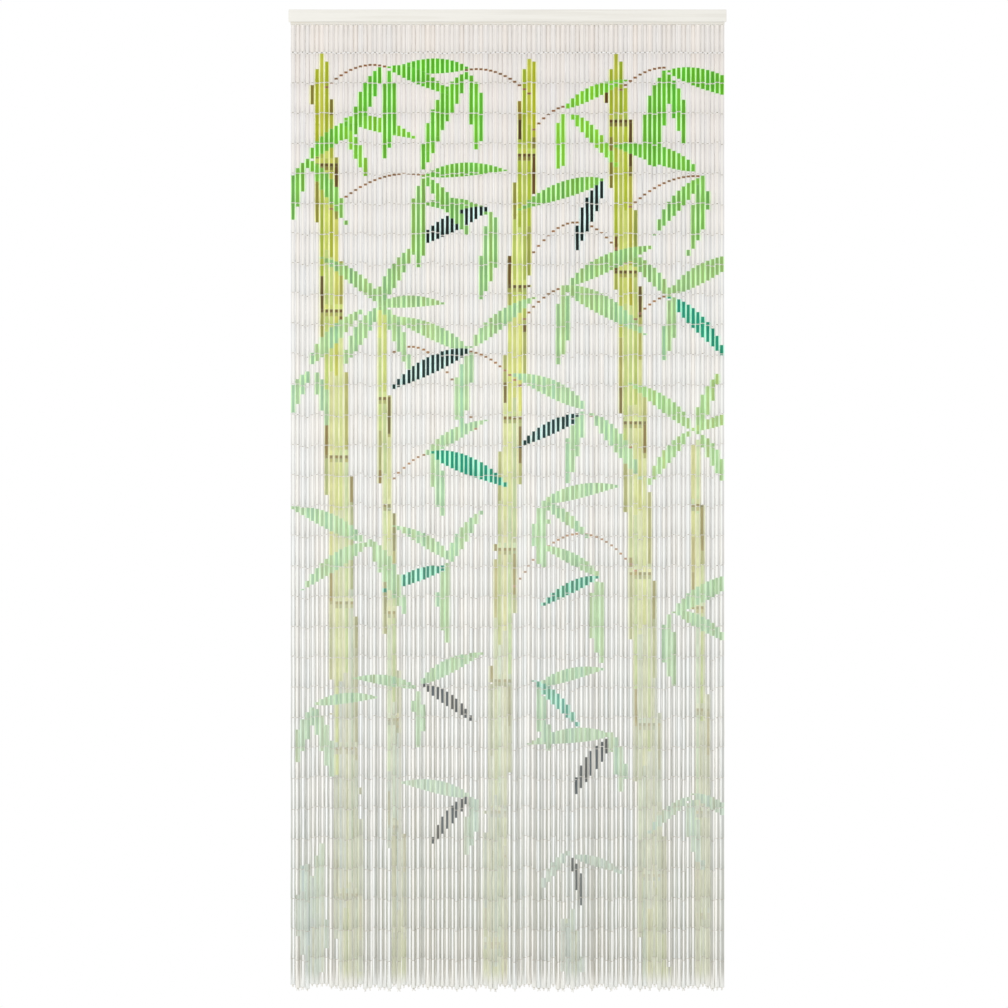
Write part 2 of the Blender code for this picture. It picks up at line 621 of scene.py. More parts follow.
class Inks(Enum):
    """The inks of the grove."""

    LEAF = Ink((
        (0.0, "#50A620"), (0.12, "#66AC36"), (0.2, "#7AA65B"), (0.28, "#98BB84"), (0.37, "#A6C69E"),
        (0.54, "#AAC6A0"), (0.7, "#B1C7AA"), (0.8, "#BDC9B8"), (0.9, "#C2CAC1"), (1.0, "#C6CAC2"),
    ), LEAF_SPRAY)
    LIME = Ink((
        (0.0, "#6CB81E"), (0.15, "#80B83C"), (0.3, "#9CC274"),
        (0.55, "#B4CC9E"), (0.8, "#C2CEB6"), (1.0, "#CACEC0"),
    ), LEAF_SPRAY)
    CANE = Ink((
        (0.0, "#848F14"), (0.12, "#A2B032"), (0.21, "#A9AE46"), (0.33, "#C0CA77"), (0.46, "#CAD3A0"),
        (0.63, "#C7D0A2"), (0.73, "#CED4BA"), (0.84, "#CCD0C4"), (0.93, "#C9CCB4"), (1.0, "#CACCAE"),
    ), CANE_SPRAY)
    SHINE = Ink((
        (0.0, "#A4B032"), (0.3, "#C4CE78"), (0.5, "#D0D8A8"), (0.7, "#D2D7BE"), (1.0, "#CCCFC2"),
    ), CANE_SPRAY)
    SHADE = Ink((
        (0.0, "#766C26"), (0.12, "#7C7434"), (0.21, "#969A44"), (0.4, "#AAAE74"),
        (0.6, "#BABC96"), (0.8, "#C2C4B4"), (1.0, "#C4C6B8"),
    ), CANE_SPRAY)
    JOINT = Ink((
        (0.0, "#4A300E"), (0.25, "#62502A"), (0.4, "#84784E"),
        (0.6, "#AAA680"), (0.8, "#BEBEA8"), (1.0, "#C6C6B6"),
    ), CANE_SPRAY)
    PETROL = Ink((
        (0.0, "#081412"), (0.25, "#0E1E1C"), (0.45, "#284442"),
        (0.63, "#566462"), (0.8, "#7E8482"), (1.0, "#909490"),
    ), ((0.0, "#E6FBF8"), (0.4, "#DAF0EC"), (0.63, "#D6E4E0"), (1.0, "#CACCC8")))
    TEAL = Ink((
        (0.0, "#1C8A6C"), (0.45, "#2A8C70"), (0.6, "#5C907C"),
        (0.73, "#7EB09C"), (0.85, "#98B8AA"), (1.0, "#ACC0B4"),
    ), ((0.0, "#B4F4DC"), (0.45, "#BCF2DC"), (0.7, "#C2E4D6"), (0.85, "#C4DACE"), (1.0, "#C8D0C8")))
    SLATE = Ink((
        (0.0, "#5C6066"), (0.75, "#666A6A"), (0.9, "#747774"), (1.0, "#8A8C88"),
    ), ((0.0, "#DCDCD8"), (0.8, "#CACAC4"), (1.0, "#C6C6C0")))
    TWIG = Ink((
        (0.0, "#7A5230"), (0.3, "#96724E"), (0.5, "#B4967C"), (0.75, "#BEB0A0"), (1.0, "#BEB8AE"),
    ), ((0.0, "#E6DCCC"), (0.5, "#E2DED4"), (1.0, "#C8C6BE")))


@dataclass(frozen=True)
class Leaf:
    """A lance-shaped leaf.

    Attributes:
        base: Where it leaves its twig, as x and z.
        heading: The way it points there, in degrees from +X towards +Z.
        length: Its length along the midrib.
        width: Its greatest width.
        droop: How many degrees it turns towards the ground along its length.
        ink: Its ink.
    """

    base: Point
    heading: float
    length: float
    width: float
    droop: float
    ink: Inks

    STEPS = 14
    FULL = 3.6
    BASE_POWER, TIP_POWER = 0.8, 1.05

    def outline(self) -> list[Point]:
        """Gives the leaf's outline."""
        x, z = self.base
        falling = -1.0 if math.cos(math.radians(self.heading)) > 0 else 1.0
        left, right = [], []
        for step in range(self.STEPS + 1):
            share = step / self.STEPS
            turn = math.radians(self.heading + falling * self.droop * share)
            half = self.width * 0.5 * self.FULL * share**self.BASE_POWER * (1.0 - share) ** self.TIP_POWER
            left.append((x - math.sin(turn) * half, z + math.cos(turn) * half))
            right.append((x + math.sin(turn) * half, z - math.cos(turn) * half))
            x += math.cos(turn) * self.length / self.STEPS
            z += math.sin(turn) * self.length / self.STEPS
        return left + right[::-1]


@dataclass(frozen=True)
class Twig:
    """A thin arching twig.

    Attributes:
        start: Where it leaves its cane.
        end: Its tip.
        rise: How far it arches above the straight line.
        width: Its width.
    """

    start: Point
    end: Point
    rise: float
    width: float = 0.0040
    ink: Inks = Inks.TWIG

    STEPS = 16

    def at(self, share: float) -> Point:
        """Gives the point this share of the way along."""
        arch = 4.0 * self.rise * share * (1.0 - share)
        return between(self.start[0], self.end[0], share), between(self.start[1], self.end[1], share) + arch

    def outline(self) -> list[Point]:
        """Gives the twig's outline."""
        line = [self.at(step / self.STEPS) for step in range(self.STEPS + 1)]
        half = self.width / 2
        return [(x, z + half) for x, z in line] + [(x, z - half) for x, z in reversed(line)]


@dataclass(frozen=True)
class Band:
    """A strip of a cane, between two shares of its width and two of its length."""

    cane: "Cane"
    sides: tuple[float, float]
    ends: tuple[float, float]
    ink: Inks

    STEPS = 24

    def outline(self) -> list[Point]:
        """Gives the strip's outline."""
        steps = max(2, math.ceil((self.ends[1] - self.ends[0]) * self.STEPS))
        along = [between(*self.ends, step / steps) for step in range(steps + 1)]
        left = [self.cane.at(share, self.sides[0]) for share in along]
        right = [self.cane.at(share, self.sides[1]) for share in reversed(along)]
        return left + right


@dataclass(frozen=True)
class Cane:
    """A bamboo cane with dark edges, a lit middle and joints.

    Attributes:
        foot: Its lower end, as x and z.
        tip: Its upper end.
        width: Its width at the foot.
        taper: Its width at the tip, as a share of that.
        bow: How far its middle stands aside.
        joint_gap: The height from one joint to the next.
        first_joint: The height of the lowest joint above the foot.
        joint_height: A joint's own height.
    """

    foot: Point
    tip: Point
    width: float
    taper: float = 0.8
    bow: float = 0.0
    joint_gap: float = 0.28
    first_joint: float = 0.15
    joint_height: float = 0.0065

    STRIPES = (
        (0.0, 0.11, 0.965, Inks.SHADE),
        (0.11, 0.38, 0.982, Inks.CANE),
        (0.38, 0.58, 1.0, Inks.SHINE),
        (0.58, 0.87, 0.99, Inks.CANE),
        (0.87, 1.0, 0.95, Inks.SHADE),
    )
    LEFT_DASH, RIGHT_DASH = 0.07, 0.09
    LIP, HOLLOW = 1.6, 1.2

    def at(self, share: float, across: float) -> Point:
        """Gives a point of the cane.

        Args:
            share: How far up it, from 0 at the foot to 1 at the tip.
            across: How far across it, from 0 at its left edge to 1 at its right.

        Returns:
            The point.
        """
        wide = self.width * between(1.0, self.taper, share)
        x = between(self.foot[0], self.tip[0], share) + self.bow * math.sin(math.pi * share)
        return x + (across - 0.5) * wide, between(self.foot[1], self.tip[1], share)

    def shapes(self) -> list[Band]:
        """Gives the cane's stripes and joints, in the order in which they are printed."""
        bands = [Band(self, (left, right), (0.0, top), ink) for left, right, top, ink in self.STRIPES]
        tall = self.tip[1] - self.foot[1]
        height = self.first_joint
        while height < tall:
            low, high = height / tall, (height + self.joint_height) / tall
            bands += [
                Band(self, (-0.03, 0.12), (high, high + self.LEFT_DASH / tall), Inks.JOINT),
                Band(self, (0.88, 1.03), (low - self.RIGHT_DASH / tall, low), Inks.JOINT),
                Band(self, (-0.03, 1.03), (low, high), Inks.JOINT),
                Band(self, (0.08, 0.92), (high, high + self.joint_height * self.LIP / tall), Inks.SHINE),
                Band(self, (0.1, 0.9), (low - self.joint_height * self.HOLLOW / tall, low), Inks.SHADE),
            ]
            height += self.joint_gap
        return bands


@dataclass(frozen=True)
class Spray:
    """Leaves that fan out from one point.

    Attributes:
        base: The point, as x and z.
        headings: The way each leaf points, in degrees from +X towards +Z.
        length: A leaf's length.
        accent: The ink of one leaf in three, if it is another.
        ink: The leaves' ink.
    """

    base: Point
    headings: tuple[float, ...]
    length: float
    accent: Optional[Inks] = None
    ink: Inks = Inks.LEAF

    SLENDER = 0.178
    DROOP = 22.0
    LENGTHS = (0.82, 1.14)
    WIDTHS = (0.88, 1.12)
    SCATTER = 0.008
    TURN = 8.0

    def shapes(self, chance: random.Random) -> list[Leaf]:
        """Gives the leaves."""
        made = []
        for number, heading in enumerate(self.headings):
            length = self.length * chance.uniform(*self.LENGTHS)
            wide = length * self.SLENDER * chance.uniform(*self.WIDTHS)
            base = tuple(at + chance.uniform(-self.SCATTER, self.SCATTER) for at in self.base)
            ink = self.accent if self.accent and number % 3 == 1 else self.ink
            heading += chance.uniform(-self.TURN, self.TURN)
            made.append(Leaf(base, heading, length, wide, self.DROOP, ink))
        return made


@dataclass(frozen=True)
class Shoot:
    """A young pointed shoot in overlapping sheaths.

    Attributes:
        foot: Its lower end, as x and z.
        tip: Its upper end.
        width: Its width at the foot.
    """

    foot: Point
    tip: Point
    width: float

    SHEATHS = 5
    CLIMB = 0.75
    SPLAY = 8.0
    NARROWING = 0.55
    LOWEST, SHORTENING = 0.62, 0.3

    def shapes(self) -> list[Leaf]:
        """Gives the sheaths, from the tip down."""
        made = []
        tall = self.tip[1] - self.foot[1]
        for number in reversed(range(self.SHEATHS)):
            share = number / self.SHEATHS
            x = between(self.foot[0], self.tip[0], share)
            z = between(self.foot[1], self.tip[1], share * self.CLIMB)
            heading = 90.0 + (self.SPLAY if number % 2 else -self.SPLAY)
            ink = Inks.LEAF if number % 2 else Inks.LIME
            length = tall * (self.LOWEST - self.SHORTENING * share)
            wide = self.width * (1.0 - self.NARROWING * share)
            made.append(Leaf((x, z), heading, length, wide, 0.0, ink))
        return made


@dataclass(frozen=True)
class Mark:
    """One printed bar on a strand, from a lower to an upper height."""

    low: float
    high: float
    ink: Colour
    halo: Colour


@dataclass
class Grove:
    """The generic print: bamboo canes, arching twigs, leaves and shoots, rising from a mist.

    Attributes:
        top: The height at which the inks are at their full strength.
        foot: The height at which they are palest.
        seed: The start of its random draws.
        shortest: The shortest bar that is printed.
        unevenness: How unevenly the strands take the ink.
        calm: How much of that is gone at the foot.
    """

    top: float = -0.06
    foot: float = -1.99
    seed: int = 7
    shortest: float = 0.0022
    unevenness: float = 0.14
    calm: float = 0.8
    canes: Sequence[Cane] = (
        Cane((-0.222, -2.01), (-0.262, -0.60), 0.031, 0.78, 0.004, 0.22, 0.12),
        Cane((0.405, -2.01), (0.385, -0.86), 0.030, 0.75, 0.004, 0.21, 0.16),
        Cane((-0.030, -2.01), (0.050, -0.075), 0.048, 0.80, -0.010, 0.27, 0.10),
        Cane((-0.322, -2.01), (-0.384, -0.075), 0.056, 0.78, 0.008, 0.30, 0.20),
        Cane((0.305, -2.01), (0.222, -0.075), 0.058, 0.78, 0.006, 0.31, 0.24),
    )
    twigs: Sequence[Twig] = (
        Twig((-0.375, -0.150), (-0.250, -0.105), 0.020),
        Twig((0.050, -0.165), (-0.085, -0.112), 0.020),
        Twig((0.050, -0.240), (0.122, -0.186), 0.012),
        Twig((0.225, -0.160), (0.330, -0.107), 0.015),
        Twig((0.245, -0.400), (0.395, -0.330), 0.020),
        Twig((-0.365, -0.400), (-0.165, -0.330), 0.030),
        Twig((0.030, -0.630), (0.110, -0.560), 0.012),
        Twig((0.250, -0.640), (0.330, -0.575), 0.012),
        Twig((0.025, -0.760), (-0.075, -0.690), 0.012),
        Twig((0.255, -0.890), (0.165, -0.820), 0.012),
        Twig((-0.240, -0.960), (-0.165, -0.900), 0.010),
        Twig((0.045, -0.500), (0.250, -0.520), 0.085),
        Twig((-0.245, -0.700), (-0.060, -0.860), 0.080),
        Twig((0.010, -1.180), (0.270, -1.150), 0.100),
    )
    sprays: Sequence[Spray] = (
        Spray((0.130, -1.720), (-10, -65, -130), 0.13, Inks.SLATE),
        Spray((0.372, -1.600), (-20, -85, -150), 0.14),
        Spray((-0.075, -1.600), (165, -140, -85), 0.15, Inks.SLATE),
        Spray((-0.400, -1.420), (-115, -60, 15), 0.14),
        Spray((0.210, -1.480), (175, -135, -75), 0.16, Inks.SLATE),
        Spray((0.060, -1.370), (25, -30, -90), 0.16, Inks.TEAL),
        Spray((-0.185, -1.380), (40, -20, -80, 160), 0.15, Inks.SLATE),
        Spray((0.340, -1.230), (35, -25, -90), 0.16),
        Spray((0.195, -1.150), (150, -155, -95), 0.17, Inks.TEAL),
        Spray((-0.115, -1.130), (140, -165, -100, 60), 0.16, Inks.TEAL),
        Spray((-0.290, -1.080), (150, -150, -60), 0.16),
        Spray((0.070, -1.000), (30, -35, -100), 0.16),
        Spray((-0.165, -0.900), (38, -18, -75), 0.17, Inks.TEAL),
        Spray((0.385, -0.860), (75, 130, 20, -50, -140), 0.15, ink=Inks.LIME),
        Spray((0.165, -0.815), (140, -165, -110, -50), 0.18, Inks.PETROL),
        Spray((-0.405, -0.720), (-125, -65, 55), 0.16),
        Spray((-0.075, -0.690), (150, -170, -110, 45), 0.18, Inks.PETROL),
        Spray((0.335, -0.575), (30, -30, -95, 120), 0.17, Inks.TEAL),
        Spray((0.115, -0.555), (35, -20, -75), 0.18),
        Spray((-0.262, -0.600), (65, 125, 15, -55, -125), 0.17),
        Spray((-0.030, -0.400), (155, -155, -95), 0.18, Inks.PETROL),
        Spray((-0.170, -0.325), (20, -40, -100, 75), 0.19),
        Spray((0.395, -0.325), (-145, -90, 150), 0.18),
        Spray((0.205, -0.330), (-165, -115), 0.19, Inks.PETROL),
        Spray((0.325, -0.110), (-5, -60, -115), 0.19),
        Spray((0.125, -0.190), (35, -35, -100), 0.16, ink=Inks.LIME),
        Spray((-0.080, -0.112), (170, -135, -80), 0.19),
        Spray((-0.415, -0.300), (-110, -55, 50), 0.16),
        Spray((-0.340, -0.215), (-60, -5), 0.16, ink=Inks.LIME),
        Spray((-0.250, -0.105), (-15, -75, -130), 0.18),
    )
    shoots: Sequence[Shoot] = (
        Shoot((-0.405, -2.01), (-0.395, -1.690), 0.040),
        Shoot((0.130, -2.01), (0.124, -1.830), 0.034),
    )

    def marks(self, strands: Sequence[float]) -> list[list[Mark]]:
        """Prints the grove.

        Args:
            strands: The middle of each strand, along X.

        Returns:
            For each strand the bars that show, none over another.
        """
        chance = random.Random(self.seed)
        shapes: list = [shape for cane in self.canes for shape in cane.shapes()]
        shapes += self.twigs
        shapes += [shape for shoot in self.shoots for shape in shoot.shapes()]
        shapes += [shape for spray in self.sprays for shape in spray.shapes(chance)]
        printed: list[list[Mark]] = [[] for _ in strands]
        for shape in shapes:
            outline = shape.outline()
            for marks, x in zip(printed, strands):
                light = 1.0 + chance.uniform(-self.unevenness, self.unevenness)
                warm = chance.uniform(-self.unevenness, self.unevenness)
                for low, high in self._crossings(outline, x):
                    if high - low >= self.shortest:
                        self._lay(marks, self._mark(shape.ink.value, low, high, light, warm))
        return printed

    def _mark(self, ink: Ink, low: float, high: float, light: float, warm: float) -> Mark:
        """Prints one bar, more evenly the lower it lies.

        Args:
            ink: Its ink.
            low: Its lower end.
            high: Its upper end.
            light: How light the strand takes the ink, as a factor.
            warm: How much warmer it makes the ink, as a share.

        Returns:
            The bar.
        """
        depth = min(1.0, max(0.0, (self.top - (low + high) / 2) / (self.top - self.foot)))
        full, halo = ink.at(depth)
        even = depth * self.calm
        light, warm = between(light, 1.0, even), warm * (1.0 - even)
        cast = (light * (1.0 + warm), light, light * (1.0 - warm))
        return Mark(low, high, tuple(c * k for c, k in zip(full, cast)), halo)

    @staticmethod
    def _crossings(outline: Sequence[Point], x: float) -> Iterable[tuple[float, float]]:
        """Gives the stretches of a plumb line at x that lie inside an outline."""
        heights = []
        for (x0, z0), (x1, z1) in zip(outline, [*outline[1:], outline[0]]):
            if (x0 > x) != (x1 > x):
                heights.append(z0 + (z1 - z0) * (x - x0) / (x1 - x0))
        heights.sort()
        return zip(heights[::2], heights[1::2])

    @staticmethod
    def _lay(marks: list[Mark], new: Mark) -> None:
        """Prints one bar over the bars that a strand has already."""
        kept = []
        for old in marks:
            if old.low < new.low:
                kept.append(replace(old, high=min(old.high, new.low)))
            if old.high > new.high:
                kept.append(replace(old, low=max(old.low, new.high)))
        marks[:] = [mark for mark in kept if mark.high > mark.low] + [new]


# Meshes


@dataclass(frozen=True)
class Ring:
    """One ring of a turned shape: its radius, its height and how deep in a cut end it lies."""

    radius: float
    height: float
    cut: float = 0.0


def turned(name: str, rings: Sequence[Ring], sides: int, bow: float = 0.0) -> bpy.types.Object:
    """Turns a closed shape about Z, with a point in the middle of each end.

    Args:
        name: The object's name.
        rings: Its rings, from one end to the other. The first and last are its end points.
        sides: How many sides it has.
        bow: How far its middle bends towards +X.

    Returns:
        The object, which is in no collection yet.
    """
    half = max(abs(ring.height) for ring in rings)
    work = bmesh.new()
    cut = work.verts.layers.float.new("cut")
    loops = []
    for ring in rings:
        aside = bow * (1.0 - (ring.height / half) ** 2)
        count = sides if ring.radius > 0 else 1
        loop = []
        for number in range(count):
            turn = 2 * math.pi * number / sides
            x, y = ring.radius * math.cos(turn), ring.radius * math.sin(turn)
            vert = work.verts.new((x + aside, y, ring.height))
            vert[cut] = ring.cut
            loop.append(vert)
        loops.append(loop)
    for first, second in zip(loops, loops[1:]):
        for number in range(sides):
            around = ((first, number), (first, number + 1), (second, number + 1), (second, number))
            corners = [loop[n % len(loop)] for loop, n in around]
            work.faces.new(list(dict.fromkeys(corners)))
    return closed_shape(name, work, True)


def swept(work: bmesh.types.BMesh, line: Sequence[Vector], radius: float, sides: int, closed: bool) -> None:
    """Draws a wire along a line into a mesh.

    Args:
        work: The mesh.
        line: The points along the wire.
        radius: The wire's radius.
        sides: How many sides it has.
        closed: Whether its end meets its start. An open wire gets flat ends.
    """
    loops = []
    count = len(line)
    for number, point in enumerate(line):
        before = line[(number - 1) % count] if closed or number else point
        after = line[(number + 1) % count] if closed or number < count - 1 else point
        ahead = (after - before).normalized()
        aside = ahead.cross(SKEW).normalized()
        up = ahead.cross(aside)
        loops.append(
            [
                work.verts.new(point + (aside * math.cos(turn) + up * math.sin(turn)) * radius)
                for turn in (2 * math.pi * side / sides for side in range(sides))
            ]
        )
    pairs = list(zip(loops, loops[1:] + loops[:1])) if closed else list(zip(loops, loops[1:]))
    for first, second in pairs:
        for side in range(sides):
            beside = (side + 1) % sides
            work.faces.new((first[side], first[beside], second[beside], second[side]))
    if not closed:
        work.faces.new(loops[0][::-1])
        work.faces.new(loops[-1])


def finished(name: str, work: bmesh.types.BMesh) -> bpy.types.Object:
    """Turns a mesh under construction into an object and frees it."""
    mesh = bpy.data.meshes.new(name)
    work.to_mesh(mesh)
    work.free()
    return bpy.data.objects.new(name, mesh)


def closed_shape(name: str, work: bmesh.types.BMesh, smooth: bool) -> bpy.types.Object:
    """Turns a closed mesh's faces outwards, smooths them or not, and makes it an object."""
    bmesh.ops.recalc_face_normals(work, faces=work.faces)
    for face in work.faces:
        face.smooth = smooth
    return finished(name, work)


def shown(thing: bpy.types.Object) -> bpy.types.Object:
    """Puts an object in the scene."""
    bpy.context.scene.collection.objects.link(thing)
    return thing


def plain(thing: bpy.types.Object) -> bpy.types.Object:
    """Swaps an object in the scene for a plain mesh of what its modifiers make of it."""
    graph = bpy.context.evaluated_depsgraph_get()
    mesh = bpy.data.meshes.new_from_object(thing.evaluated_get(graph), depsgraph=graph)
    name = thing.name
    bpy.data.objects.remove(thing, do_unlink=True)
    return shown(bpy.data.objects.new(name, mesh))


def hand_over(piece: bpy.types.Object, slot: Slot, *nodes: str) -> None:
    """Lets a piece ride on the curtain in place of the nodes that it replaces."""
    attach(piece, BODY)
    if nodes:
        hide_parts(*nodes)
    piece.data.calc_loop_triangles()
    LOG.info("%s: %d triangles", piece.name, len(piece.data.loop_triangles))


# Placing repeated shapes


@dataclass
class Place:
    """Where one copy of a repeated shape goes.

    Attributes:
        middle: The copy's middle.
        up: The way its own Z axis points.
        stretch: Its scale across and along that axis.
        facts: Its own attributes, each a number or three numbers.
    """

    middle: Vector
    up: Vector
    stretch: tuple[float, float]
    facts: dict


class Setter:
    """Geometry nodes that set copies of some shapes on points, and make one mesh of them."""

    INPUTS = (
        ("Points", "NodeSocketGeometry"),
        ("Shapes", "NodeSocketCollection"),
        ("Finish", "NodeSocketMaterial"),
        ("Uneven width", "NodeSocketFloat"),
        ("Turn", "NodeSocketFloat"),
        ("Seed", "NodeSocketInt"),
    )
    KINDS = {int: ("INT", "value"), float: ("FLOAT", "value"), tuple: ("FLOAT_VECTOR", "vector")}

    def __init__(self, name: str) -> None:
        """Builds the tree."""
        group = bpy.data.node_groups.new(name, "GeometryNodeTree")
        for label, kind in self.INPUTS:
            group.interface.new_socket(name=label, in_out="INPUT", socket_type=kind)
        group.interface.new_socket(name="Mesh", in_out="OUTPUT", socket_type="NodeSocketGeometry")
        tree = Tree(group)
        given = tree.node("NodeGroupInput").outputs
        picked = {"Collection": given["Shapes"], "Separate Children": True, "Reset Children": True}
        shapes = tree.node("GeometryNodeCollectionInfo", None, picked)
        up = {"Vector": self._fact(tree, "up", "FLOAT_VECTOR")}
        upright = tree.node("FunctionNodeAlignRotationToVector", {"axis": "Z"}, up)
        uneven = Value(tree, given["Uneven width"])
        uneven = self._chance(tree, given["Seed"], 1.0 - uneven, 1.0 + uneven)
        across, along, _ = tree.split(self._fact(tree, "stretch", "FLOAT_VECTOR"))
        width = across * uneven
        scale = tree.node("ShaderNodeCombineXYZ", None, {0: width, 1: width, 2: along})
        copied = {
            "Points": given["Points"],
            "Instance": shapes.outputs[0],
            "Pick Instance": True,
            "Instance Index": self._fact(tree, "kind", "INT"),
            "Rotation": upright.outputs[0],
            "Scale": scale.outputs[0],
        }
        copies = tree.node("GeometryNodeInstanceOnPoints", None, copied)
        spin = self._chance(tree, given["Seed"], 0.0, Value(tree, given["Turn"]))
        axis = tree.node("ShaderNodeCombineXYZ", None, {2: spin})
        spun = {"Instances": copies.outputs[0], "Rotation": axis.outputs[0], "Local Space": True}
        copies = tree.node("GeometryNodeRotateInstances", None, spun)
        whole = tree.node("GeometryNodeRealizeInstances", None, {0: copies.outputs[0]})
        finish = {"Geometry": whole.outputs[0], "Material": given["Finish"]}
        painted = tree.node("GeometryNodeSetMaterial", None, finish)
        tree.node("NodeGroupOutput", None, {0: painted.outputs[0]})
        self.group = group

    @staticmethod
    def _fact(tree: Tree, name: str, kind: str) -> bpy.types.NodeSocket:
        """Reads one of each point's own attributes."""
        return tree.node("GeometryNodeInputNamedAttribute", {"data_type": kind}, {"Name": name}).outputs[0]

    @staticmethod
    def _chance(tree: Tree, seed: object, low: Number, high: Number) -> Value:
        """Draws a number for each point."""
        made = tree.node("FunctionNodeRandomValue", {"data_type": "FLOAT"}, {"Seed": seed, 2: low, 3: high})
        return Value(tree, made.outputs[1])

    def mesh(
        self,
        name: str,
        places: Sequence[Place],
        shapes: bpy.types.Collection,
        finish: bpy.types.Material,
        uneven_width: float,
        turn: float,
        seed: int,
    ) -> bpy.types.Object:
        """Sets the copies.

        Args:
            name: The piece's name.
            places: Where the copies go.
            shapes: The shapes to pick from.
            finish: Their material.
            uneven_width: How much wider or narrower a copy may be, as a share.
            turn: The most that a copy is turned about its own Z axis.
            seed: The start of the tree's random draws.

        Returns:
            The piece, a plain mesh in the scene.
        """
        mesh = bpy.data.meshes.new(name)
        mesh.from_pydata([tuple(place.middle) for place in places], [], [])
        self._write(mesh, "up", [tuple(place.up) for place in places])
        self._write(mesh, "stretch", [(*place.stretch, 0.0) for place in places])
        for fact in places[0].facts:
            self._write(mesh, fact, [place.facts[fact] for place in places])
        piece = shown(bpy.data.objects.new(name, mesh))
        setter = piece.modifiers.new(name, "NODES")
        setter.node_group = self.group
        given = dict(zip([label for label, _ in self.INPUTS[1:]], (shapes, finish, uneven_width, turn, seed)))
        for item in self.group.interface.items_tree:
            if item.name in given:
                setter[item.identifier] = given[item.name]
        piece = plain(piece)
        for used in ("up", "stretch", "kind"):
            piece.data.attributes.remove(piece.data.attributes[used])
        return piece

    def _write(self, mesh: bpy.types.Mesh, name: str, values: list) -> None:
        """Writes one attribute of the points, of whole numbers, numbers or threes of numbers."""
        kind, part = self.KINDS[type(values[0])]
        if part == "vector":
            values = [number for value in values for number in value]
        mesh.attributes.new(name, kind, "POINT").data.foreach_set(part, values)


def shape_box(name: str, shapes: Sequence[bpy.types.Object]) -> bpy.types.Collection:
    """Puts shapes to copy in a collection of their own, outside the scene."""
    box = bpy.data.collections.new(name)
    for shape in shapes:
        box.objects.link(shape)
    return box


# Sub-assemblies


@dataclass
class Rail:
    """The painted header rail and the lath under it.

    Attributes:
        rail: The box of the solid rail.
        strands: The box of the solid strands with their lath.
        ease: How far the rail's arrises are rounded.
        lath_ease: The same for the lath.
        wave: How far the planed faces dip at most.
        waves: Each wave's size, its radians to a metre and its start.
    """

    rail: Box
    strands: Box
    ease: float = 0.0009
    lath_ease: float = 0.0003
    wave: float = 0.00012
    waves: tuple[Scale, ...] = ((1.0, 31.0, 0.0), (0.6, 83.0, 1.0))

    ROUND_STEPS = 4
    CUTS = 40
    SHARP = math.radians(50)

    def build(self) -> None:
        """Builds both and hands them over."""
        rail = self._batten("header_rail_wood", *self.rail, self.ease, RailPaint().material())
        hand_over(rail, Slot.RAIL, RAIL_NODE)
        low, high = self.strands
        foot = Vector((low.x, low.y, high.z - LATH_HEIGHT))
        top = Vector((high.x, high.y, self.rail[0].z))
        lath = self._batten("hanging_lath", foot, top, self.lath_ease, LathPaint().material())
        hand_over(lath, Slot.RAIL, STRAND_NODE)

    def _batten(
        self, name: str, low: Vector, high: Vector, ease: float, finish: bpy.types.Material
    ) -> bpy.types.Object:
        """Makes a batten with rounded arrises and slightly wavy planed faces.

        Args:
            name: The piece's name.
            low: Its lowest corner.
            high: Its highest corner.
            ease: How far its arrises are rounded.
            finish: Its material.

        Returns:
            The batten, in the scene.
        """
        work = bmesh.new()
        bmesh.ops.create_cube(work, size=1.0)
        bmesh.ops.scale(work, vec=high - low, verts=work.verts)
        bmesh.ops.translate(work, vec=(low + high) / 2, verts=work.verts)
        rounded = {"offset": ease, "segments": self.ROUND_STEPS, "profile": 0.5, "affect": "EDGES"}
        bmesh.ops.bevel(work, geom=work.edges[:], **rounded)
        half = (high - low).x / 2
        long_edges = [e for e in work.edges if abs(e.verts[0].co.x - e.verts[1].co.x) > half]
        bmesh.ops.subdivide_edges(work, edges=long_edges, cuts=self.CUTS, use_grid_fill=True)
        most = sum(size for size, _, _ in self.waves)
        middle = (low.z + high.z) / 2
        for vert in work.verts:
            dip = sum(size * math.sin(vert.co.x * turn + start) for size, turn, start in self.waves)
            vert.co.z -= self.wave * (dip + most) / (2 * most) * (1.0 if vert.co.z > middle else -1.0)
        batten = shown(closed_shape(name, work, True))
        batten.data.materials.append(finish)
        batten.data.set_sharp_from_angle(angle=self.SHARP)
        return batten


